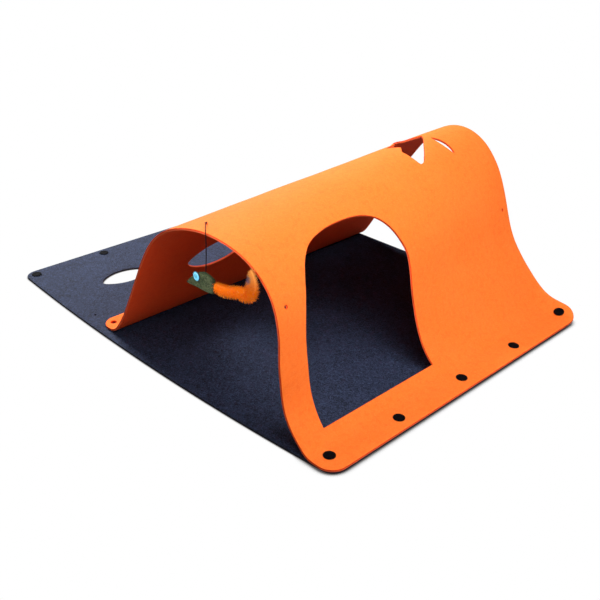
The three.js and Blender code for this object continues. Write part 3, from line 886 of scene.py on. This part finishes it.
def smooth_path(points, steps):
    """A smooth line through points, with the given number of steps between two of them."""
    rows = np.array(points, float)
    rows = np.vstack([2 * rows[0] - rows[1], rows, 2 * rows[-1] - rows[-2]])
    made = []
    for before, a, b, after in zip(rows, rows[1:], rows[2:], rows[3:]):
        for k in range(steps):
            t = k / steps
            made.append(0.5 * (
                2 * a + (b - before) * t + (2 * before - 5 * a + 4 * b - after) * t**2
                + (3 * a - before - 3 * b + after) * t**3
            ))
    return np.array(made + [rows[-2]])


def tube(name, points, radii, sides, closed=False, side=None):
    """A tube along points, with closed ends. Radii are one pair, or a pair for each point, in the
    plane of the side direction and square to it."""
    points = np.asarray(points, float)
    count = len(points)
    radii = np.broadcast_to(radii, (count, 2))
    if closed:
        ahead = np.roll(points, -1, axis=0) - np.roll(points, 1, axis=0)
    else:
        ahead = np.gradient(points, axis=0)
    ahead = unit(ahead)
    normal = np.cross(ahead[0], (0.3, 0.2, 0.9)) if side is None else np.cross(side, ahead[0])
    length = np.append(0, np.cumsum(np.linalg.norm(np.diff(points, axis=0), axis=1)))
    vertices, places, polygons = [], [], []
    for point, way, (wide, deep), at in zip(points, ahead, radii, length):
        normal = unit(normal - way * np.dot(normal, way))
        square = np.cross(way, normal)
        for k in range(sides):
            a = 2 * pi * k / sides
            vertices.append(point + normal * wide * cos(a) + square * deep * sin(a))
            places.append((k / sides, at, 0))
    for i in range(count if closed else count - 1):
        for k in range(sides):
            a, b = i * sides + k, i * sides + (k + 1) % sides
            c, d = ((i + 1) % count) * sides + k, ((i + 1) % count) * sides + (k + 1) % sides
            polygons.append((a, b, d, c))
    if not closed:
        for i, turn in ((0, -1), (count - 1, 1)):
            ring = list(range(i * sides, (i + 1) * sides))[::turn]
            hub = len(vertices)
            vertices.append(points[i])
            places.append((0, length[i], 0))
            polygons += [(hub, ring[k], ring[(k + 1) % sides]) for k in range(sides)]
    mesh = new_mesh(name, vertices, polygons)
    give_attribute(mesh, "along_tube", np.array(places, float))
    return show(mesh)


# Geometry Nodes

def random_value(low, high, seed, kind="FLOAT"):
    made = add_node(seed.id_data, "FunctionNodeRandomValue", {"Seed": seed}, data_type=kind)
    least, most = (s for s in made.inputs if s.enabled and s.name in ("Min", "Max"))
    least.default_value, most.default_value = low, high
    return next(socket for socket in made.outputs if socket.enabled)


# How a strand of length 1 bends: its start, middle and end
STRAY_CURVE = ((0, 0, -0.03), (0.5, 0.1, 0.26), (1, -0.18, 0.06))
HAIR_CURVE = ((0, 0, -0.12), (0.05, 0, 0.5), (0.22, 0, 1))
PILE_CURVE = ((0, 0, -0.1), (0.15, 0, 1.5), (0.75, 0, 0.35))
STRAND_TAPER = 0.75
FIBRE_THICKNESS = 0.07 * MM
LOOP_THICKNESS = 0.12 * MM
HAIR_THICKNESS = 0.22 * MM
STRAND_LENGTHS = (0.55, 1.25)
HAIR_STANDING = 0.75  # the share of the surface's normal in the way that a hair points


def scatter_group(name, curve_points, sways=None):
    """Curved tapering strands scattered on a surface: flat strays, standing pile, or with sways
    given hair that is combed along the surface's comb attribute."""
    tree, given, result = new_group(
        name, "GeometryNodeTree",
        {"Geometry": "Geometry", "Float": "Density Length Thickness", "Int": "Seed",
         "Material": "Material"},
        {"Geometry": "Geometry"},
    )
    seed = given["Seed"]
    height = along_axis(source(tree, "GeometryNodeInputPosition"), "Z")
    points = add_node(
        tree, "GeometryNodeDistributePointsOnFaces",
        {"Mesh": given["Geometry"], "Density": given["Density"], "Seed": seed,
         "Selection": work_out("GREATER_THAN", height, MM)},
    ).outputs
    curve = {"Resolution": 3, **dict(zip(("Start", "Middle", "End"), curve_points))}
    line = source(tree, "GeometryNodeCurveQuadraticBezier", 0, curve)
    share = source(tree, "GeometryNodeSplineParameter", "Factor")
    taper = work_out("SUBTRACT", 1.0, times(share, STRAND_TAPER))
    line = value_of("GeometryNodeSetCurveRadius", {"Curve": line, "Radius": taper})
    ratio = work_out("DIVIDE", given["Thickness"], given["Length"])
    circle = {"Resolution": 3, "Radius": times(ratio, 0.5)}
    section = value_of("GeometryNodeCurvePrimitiveCircle", circle)
    sweep = {"Curve": line, "Profile Curve": section, "Fill Caps": True}
    strand = value_of("GeometryNodeCurveToMesh", sweep)
    upright = points["Rotation"]
    if sways is not None:
        comb = source(
            tree, "GeometryNodeInputNamedAttribute", 0, {"Name": "comb"}, data_type="FLOAT_VECTOR"
        )
        way = on_vector("SCALE", points["Normal"], HAIR_STANDING)
        way = on_vector("ADD", way, comb)
        sway = random_value((-sways,) * 3, (sways,) * 3, seed, "FLOAT_VECTOR")
        way = on_vector("ADD", way, sway)
        upright = value_of("FunctionNodeAlignRotationToVector", {"Vector": way}, axis="Z")
    spin = value_of("ShaderNodeCombineXYZ", {"Z": random_value(0.0, 2 * pi, seed)})
    spin = value_of("FunctionNodeEulerToRotation", {0: spin})
    turned_about = value_of(
        "FunctionNodeRotateRotation", {"Rotation": upright, "Rotate By": spin},
        rotation_space="LOCAL",
    )
    size = times(given["Length"], random_value(*STRAND_LENGTHS, seed))
    placed = value_of(
        "GeometryNodeInstanceOnPoints",
        {"Points": points["Points"], "Instance": strand, "Rotation": turned_about, "Scale": size},
    )
    shaded = add_node(
        tree, "GeometryNodeStoreNamedAttribute", {"Geometry": placed, "Name": "shade"},
        data_type="FLOAT", domain="INSTANCE",
    )
    value = next(s for s in shaded.inputs if s.enabled and s.name == "Value")
    connect(random_value(0.0, 1.0, seed), value)
    real = value_of("GeometryNodeRealizeInstances", {0: shaded.outputs[0]})
    finish = {"Geometry": real, "Material": given["Material"]}
    connect(value_of("GeometryNodeSetMaterial", finish), result["Geometry"])
    return tree


def grown(name, base, group, material, **values):
    """What a scatter group grows on a mesh, as a plain mesh object of its own."""
    carrier = put_in_scene(f"{name}_carrier", base.data.copy())
    modifier = carrier.modifiers.new("Grow", "NODES")
    modifier.node_group = group
    sockets = {s.name: s.identifier for s in group.interface.items_tree if s.in_out == "INPUT"}
    for key, value in {**values, "Material": material}.items():
        modifier[sockets[key]] = value
    carrier.update_tag()
    bpy.context.view_layer.update()
    evaluated = carrier.evaluated_get(bpy.context.evaluated_depsgraph_get())
    mesh = bpy.data.meshes.new_from_object(evaluated)
    bpy.data.objects.remove(carrier)
    mesh.name = name
    made = show(mesh)
    if not mesh.materials:
        mesh.materials.append(material)
    return made


# Pieces

def settle(piece, material, slot, *nodes):
    """Gives a finished piece its material and body, and lets it stand for its CAD nodes. The slot is
    not used.
    """
    if material is not None:
        piece.data.materials.clear()
        piece.data.materials.append(material)
    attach(piece, "root")
    if nodes:
        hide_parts(*nodes)
    return piece


def felt_piece(name, node, cut, settings, colour, seed, **look):
    """A cut felt piece that stands for a node, and the loose fibres on it."""
    slot = f"{colour}_felt"
    shades = [
        getattr(settings, colour + part) for part in ("_dark", "", "_light", "_edge", "_line")
    ]
    piece = cut_piece(name, **cut)
    settle(piece, felt_material(slot, shades, cut["thickness"], **look), slot, node)
    group = bpy.data.node_groups.get("Stray fibres") or scatter_group("Stray fibres", STRAY_CURVE)
    dark, _, light, _, _ = shades
    fibres = grown(
        f"{node}_fibres", piece, group, fibre_material(f"{node}_fibres", dark, light),
        Density=settings.fibre_density, Length=settings.fibre_length,
        Thickness=FIBRE_THICKNESS, Seed=seed,
    )
    return piece, settle(fibres, None, slot)


class TUNNEL_OT_stage(bpy.types.Operator):
    """Make the floor, the lights and the camera"""

    bl_idname = "tunnel.make_stage"
    bl_label = "Make the stage"

    def execute(self, context):
        settings = context.scene.tunnel_stage
        self.make_floor(settings)
        world = bpy.data.worlds.new("studio")
        world.use_nodes = True
        tree = world.node_tree
        even = mix_colours(seen_directly(tree), (0, 0, 0), (1, 1, 1))
        connect(even, tree.nodes["Background"].inputs["Color"])
        context.scene.world = world
        context.scene.view_settings.view_transform = "Standard"
        for name, turn, rise, power, distance, size in LIGHTS:
            turn, rise = radians(turn), radians(rise)
            level = cos(rise)
            way = Vector((level * cos(turn), level * sin(turn), sin(rise)))
            place = Vector(LIGHT_AIM) + way * distance
            power = power * settings.studio_share
            self.add_light(name, "AREA", place, way, size=size, energy=power)
        place = Vector(FISH_LIGHT_PLACE)
        self.add_light(
            "fish_light", "SPOT", place, place - Vector(FISH_LIGHT_AIM), energy=settings.toy_power,
            shadow_soft_size=0.05, spot_size=radians(9), spot_blend=0.6,
        )
        self.add_camera(context)
        return {"FINISHED"}

    def make_floor(self, settings):
        """A floor that is seen white, with a painted contact shadow only where the mat stands on it. It
        throws a part of the studio's light back under the arch."""
        half = FLOOR_SIZE / 2
        corners = [(-half, -half, 0), (half, -half, 0), (half, half, 0), (-half, half, 0)]
        mesh = new_mesh("floor", corners, [(0, 1, 2, 3)])
        finish = {"Emission Strength": 1, "Roughness": 0.9, "Specular IOR Level": 0.0}
        material, tree, shader = new_material("floor", finish)
        seen = seen_directly(tree)
        base = mix_colours(seen, settings.floor_bounce, (0, 0, 0))
        connect(base, shader["Base Color"])
        # Painted contact shadow: ambient occlusion darkens the floor's glow towards the shadow tint
        # beside the mat
        reach = {"Distance": settings.contact_shadow}
        open_share = source(tree, "ShaderNodeAmbientOcclusion", "AO", reach, samples=16)
        clear = spread(open_share, 0.5, 0.83)
        glow = mix_colours(clear, settings.contact_shadow_tint, settings.floor)
        glow = mix_colours(seen, (0, 0, 0), glow)
        connect(glow, shader["Emission Color"])
        mesh.materials.append(material)
        put_in_scene("floor", mesh)

    def add_light(self, name, kind, place, way, **values):
        """A light that shines against the given way, and that the camera doesn't see."""
        data = bpy.data.lights.new(name, kind)
        for key, value in values.items():
            setattr(data, key, value)
        light = put_in_scene(name, data)
        light.location = place
        light.visible_camera = False
        light.rotation_euler = way.to_track_quat("Z", "Y").to_euler()

    def add_camera(self, context):
        a, e, roll = (radians(CAMERA[key]) for key in ("azimuth", "elevation", "roll"))
        back = Vector((sin(a) * cos(e), -cos(a) * cos(e), sin(e)))
        right = Vector((cos(a), sin(a), 0))
        up = back.cross(right)
        columns = [
            right * cos(roll) + up * sin(roll),
            up * cos(roll) - right * sin(roll),
            back,
        ]
        data = bpy.data.cameras.new("camera")
        data.lens = CAMERA["lens"]
        data.sensor_width = 36
        data.clip_end = 100
        camera = put_in_scene("camera", data)
        camera.matrix_world = Matrix.Translation(CAMERA_PLACE) @ Matrix(columns).transposed().to_4x4()
        context.scene.camera = camera


class TUNNEL_OT_cord(bpy.types.Operator):
    """Make the cord and its knot"""

    bl_idname = "tunnel.make_cord"
    bl_label = "Make the cord"

    def execute(self, context):
        settings = context.scene.tunnel_toy
        path = smooth_path(np.array(CORD_ROUTE) * MM + (0, MIDDLE_Y, 0), 6)
        cord = tube("toy_cord_line", path, CORD_DIAMETER / 2, sides=12)
        material = cord_material("covered_cord", settings.cord, CORD_TWIST)
        settle(cord, material, "dark_cord", "toy_cord")

        # A loop of thread with three crossings
        turns = np.linspace(0, 2 * pi, 60, endpoint=False)
        lobes = np.stack(
            [np.sin(turns) + 2 * np.sin(2 * turns), np.cos(turns) - 2 * np.cos(2 * turns),
             -1.3 * np.sin(3 * turns)], axis=1,
        )
        scale = (KNOT_RADIUS - 0.4 * CORD_DIAMETER) / 3
        low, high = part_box("cord_knot")
        place = facing((low + high) / 2, sheet_normal(*CORD_HOLE))
        loops = [place @ (Vector(lobe) * scale) for lobe in lobes]
        knot = tube("cord_knot_loops", loops, 0.42 * CORD_DIAMETER, sides=9, closed=True)
        material = cord_material("knotted_cord", settings.knot, KNOT_TWIST)
        settle(knot, material, "dark_cord", "cord_knot")
        return {"FINISHED"}


class TUNNEL_OT_mat(bpy.types.Operator):
    """Make the grey felt mat"""

    bl_idname = "tunnel.make_mat"
    bl_label = "Make the mat"

    def execute(self, context):
        settings = context.scene.tunnel_felt
        cut = {
            "outline": mat_outline(), "holes": [leaf_outline(MAT_LEAF, False), punched(MAT_HOLE)],
            "place": on_mat, "thickness": FELT, "spacing": settings.spacing * MAT_SPACING,
            "softness": settings.softness,
        }
        mat, fibres = felt_piece(
            "felt_mat_cloth", "felt_mat", cut, settings, "grey", seed=5, heather=1.2, bump=0.8
        )
        return {"FINISHED"}


class TUNNEL_OT_sheet(bpy.types.Operator):
    """Make the orange felt sheet that arches over the mat"""

    bl_idname = "tunnel.make_sheet"
    bl_label = "Make the arched sheet"

    def execute(self, context):
        settings = context.scene.tunnel_felt
        holes = [smooth_path(both_sides(DOOR), 3) * MM, np.array(both_sides(ROOF_OPENING)) * MM]
        holes += [leaf_outline(BACK_LEAF, True), leaf_outline(SMALL_LEAF, False)]
        holes += [punched(hole) for hole in PUNCHED_HOLES]
        cut = {
            "outline": sheet_outline(), "holes": holes, "place": uneven_sheet, "thickness": FELT,
            "spacing": settings.spacing, "softness": settings.softness,
        }
        # The sheet's inner face gets the inside tint as painted shade
        sheet, fibres = felt_piece(
            "tunnel_sheet_cloth", "tunnel_sheet", cut, settings, "orange", seed=8, heather=0.6,
            bump=0.45, under=settings.orange_inside_shade,
        )
        loops = [closed_loop(hole, EDGE_STEP, True) for hole in holes]
        return {"FINISHED"}


class TUNNEL_OT_fasteners(bpy.types.Operator):
    """Make the black fastener dots on the sheet and on the mat"""

    bl_idname = "tunnel.make_fasteners"
    bl_label = "Make the fasteners"

    def execute(self, context):
        settings = context.scene.tunnel_fasteners
        group = scatter_group("Fastener pile", PILE_CURVE)
        material = loop_material(settings.black)
        for i, dot in enumerate(SHEET_DOTS, 1):
            across, along, gap = (value * MM for value in dot)
            seat = on_sheet(across, along, FELT / 2 + gap)
            place = facing(seat, sheet_normal(across, along))
            self.make_dot(f"sheet_dot_{i}", place, group, material, settings)
            low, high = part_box(f"mat_dot_{i}")
            place = Matrix.Translation(((low.x + high.x) / 2, (low.y + high.y) / 2, low.z))
            self.make_dot(f"mat_dot_{i}", place, group, material, settings)
        return {"FINISHED"}

    def make_dot(self, node, place, group, material, settings):
        radius = (DOT_HIGH.x - DOT_LOW.x) / 2
        top = DOT_HIGH.z - DOT_LOW.z - 0.35 * MM
        rim = 0.45 * MM
        profile = [(0, 0), (radius - 0.1 * MM, 0), (radius, 0.2 * MM), (radius, top - rim)]
        profile += [
            (radius - rim * (1 - cos(a)), top - rim * (1 - sin(a)))
            for a in map(radians, (30, 60, 90))
        ]
        profile += [(radius * 0.75, top), (radius * 0.4, top), (0, top)]
        disc = turned(f"{node}_disc", profile, 36, place)
        settle(disc, material, "black_fastener", node)
        bed = turned(f"{node}_bed", [(0, top), (radius * 0.94, top)], 24, place)
        pile = grown(
            f"{node}_pile", bed, group, material, Density=settings.pile_density,
            Length=settings.pile_height, Thickness=LOOP_THICKNESS, Seed=3,
        )
        bpy.data.objects.remove(bed)
        settle(pile, None, "black_fastener")


class TUNNEL_OT_head(bpy.types.Operator):
    """Make the fish's felt head and its eye"""

    bl_idname = "tunnel.make_head"
    bl_label = "Make the head"

    def execute(self, context):
        settings = context.scene.tunnel_toy
        cut = {
            "outline": np.array(HEAD_OUTLINE) * MM, "holes": [], "place": on_head,
            "thickness": HEAD_THICKNESS, "spacing": HEAD_SPACING, "softness": HEAD_SOFTNESS,
        }
        felt_piece("toy_head_felt", "toy_head", cut, settings, "green", seed=2, heather=1.0, bump=1.0)
        self.make_eye(settings)
        return {"FINISHED"}

    def make_eye(self, settings):
        low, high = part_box("toy_eye")
        centre = Vector(((low.x + high.x) / 2, high.y, (low.z + high.z) / 2))
        place = Matrix.Translation(centre) @ Matrix.Rotation(radians(90), 4, "X")
        back = turned("toy_eye_rim", np.array(EYE_RIM) * MM, 40, place)
        material = plain_material("eye_rim", settings.rim, roughness=0.5)
        settle(back, material, "blue_eye", "toy_eye")

        seat = 0.95 * MM
        rise = EYE_THICKNESS - 0.75 * MM
        dome = [(0, 0.65 * MM), (EYE_FACE_RADIUS, seat)]
        dome += [
            (EYE_FACE_RADIUS * cos(a), seat + rise * sin(a))
            for a in np.radians(np.linspace(12, 84, 7))
        ]
        face = turned("toy_eye_face", dome + [(0, seat + rise)], 40, place)
        settle(face, plain_material("eye_face", settings.blue, roughness=0.3), "blue_eye")

        curl = []
        turns = np.linspace(0.2, 1.55 * 2 * pi, 40)
        for r, t in zip(np.linspace(0.5 * MM, 3.9 * MM, 40), turns):
            bow = sqrt(max(1 - (r / EYE_FACE_RADIUS) ** 2, 0))
            height = seat + 0.75 * rise * bow + 0.2 * MM
            curl.append(place @ Vector((r * cos(t), r * sin(t), height)))
        line = tube("toy_eye_curl", curl, 0.42 * MM, sides=8)
        deep = changed(settings.blue, 0.45)
        settle(line, plain_material("eye_curl", deep, roughness=0.4), "blue_eye")


class TUNNEL_OT_tail(bpy.types.Operator):
    """Make the fish's plush tail"""

    bl_idname = "tunnel.make_tail"
    bl_label = "Make the tail"

    def execute(self, context):
        settings = context.scene.tunnel_toy
        rows = smooth_path(np.array(TAIL_SECTIONS) * MM, 5)
        middle = np.stack([rows[:, 0], np.full(len(rows), MIDDLE_Y + TOY_Y), rows[:, 1]], axis=1)
        middle[:, 2] += CORE_LIFT
        radii = rows[:, 2:] * CORE_SHARE
        core = tube("toy_tail_core", middle, radii, CORE_SIDES, side=(0, 1, 0))
        ahead = unit(np.gradient(middle, axis=0))
        comb = np.vstack([np.repeat(ahead, CORE_SIDES, axis=0), ahead[0], ahead[-1]])
        give_attribute(core.data, "comb", comb * COMB_STRENGTH)
        material = plush_material(settings)
        settle(core, material, "orange_plush", "toy_tail")
        hair = grown(
            "toy_tail_hair", core, scatter_group("Combed hair", HAIR_CURVE, sways=0.45), material,
            Density=settings.hair_density, Length=settings.hair_length,
            Thickness=HAIR_THICKNESS, Seed=4,
        )
        settle(hair, None, "orange_plush")
        return {"FINISHED"}


OPERATORS = (
    TUNNEL_OT_stage, TUNNEL_OT_cord, TUNNEL_OT_mat, TUNNEL_OT_sheet, TUNNEL_OT_fasteners,
    TUNNEL_OT_head, TUNNEL_OT_tail,
)
SETTINGS = {
    "tunnel_felt": FeltSettings,
    "tunnel_fasteners": FastenerSettings,
    "tunnel_toy": ToySettings,
    "tunnel_stage": StageSettings,
}


class TUNNEL_PT_panel(bpy.types.Panel):
    """Lists what makes the tunnel"""

    bl_idname = "TUNNEL_PT_panel"
    bl_label = "Cat tunnel"
    bl_space_type = "VIEW_3D"
    bl_region_type = "UI"
    bl_category = "Cat tunnel"

    def draw(self, context):
        for operator in OPERATORS:
            self.layout.operator(operator.bl_idname)
        for group in SETTINGS:
            settings = getattr(context.scene, group)
            for name in settings.__annotations__:
                self.layout.prop(settings, name)


CLASSES = (*SETTINGS.values(), *OPERATORS, TUNNEL_PT_panel)


def register():
    for made in CLASSES:
        bpy.utils.register_class(made)
    for name, group in SETTINGS.items():
        setattr(bpy.types.Scene, name, PointerProperty(type=group))


def unregister():
    for name in SETTINGS:
        delattr(bpy.types.Scene, name)
    for made in reversed(CLASSES):
        bpy.utils.unregister_class(made)


def main():
    register()
    bpy.ops.tunnel.make_stage()
    bpy.ops.tunnel.make_cord()
    bpy.ops.tunnel.make_mat()
    bpy.ops.tunnel.make_sheet()
    bpy.ops.tunnel.make_fasteners()
    bpy.ops.tunnel.make_head()
    bpy.ops.tunnel.make_tail()


if __name__ == "__main__":
    main()
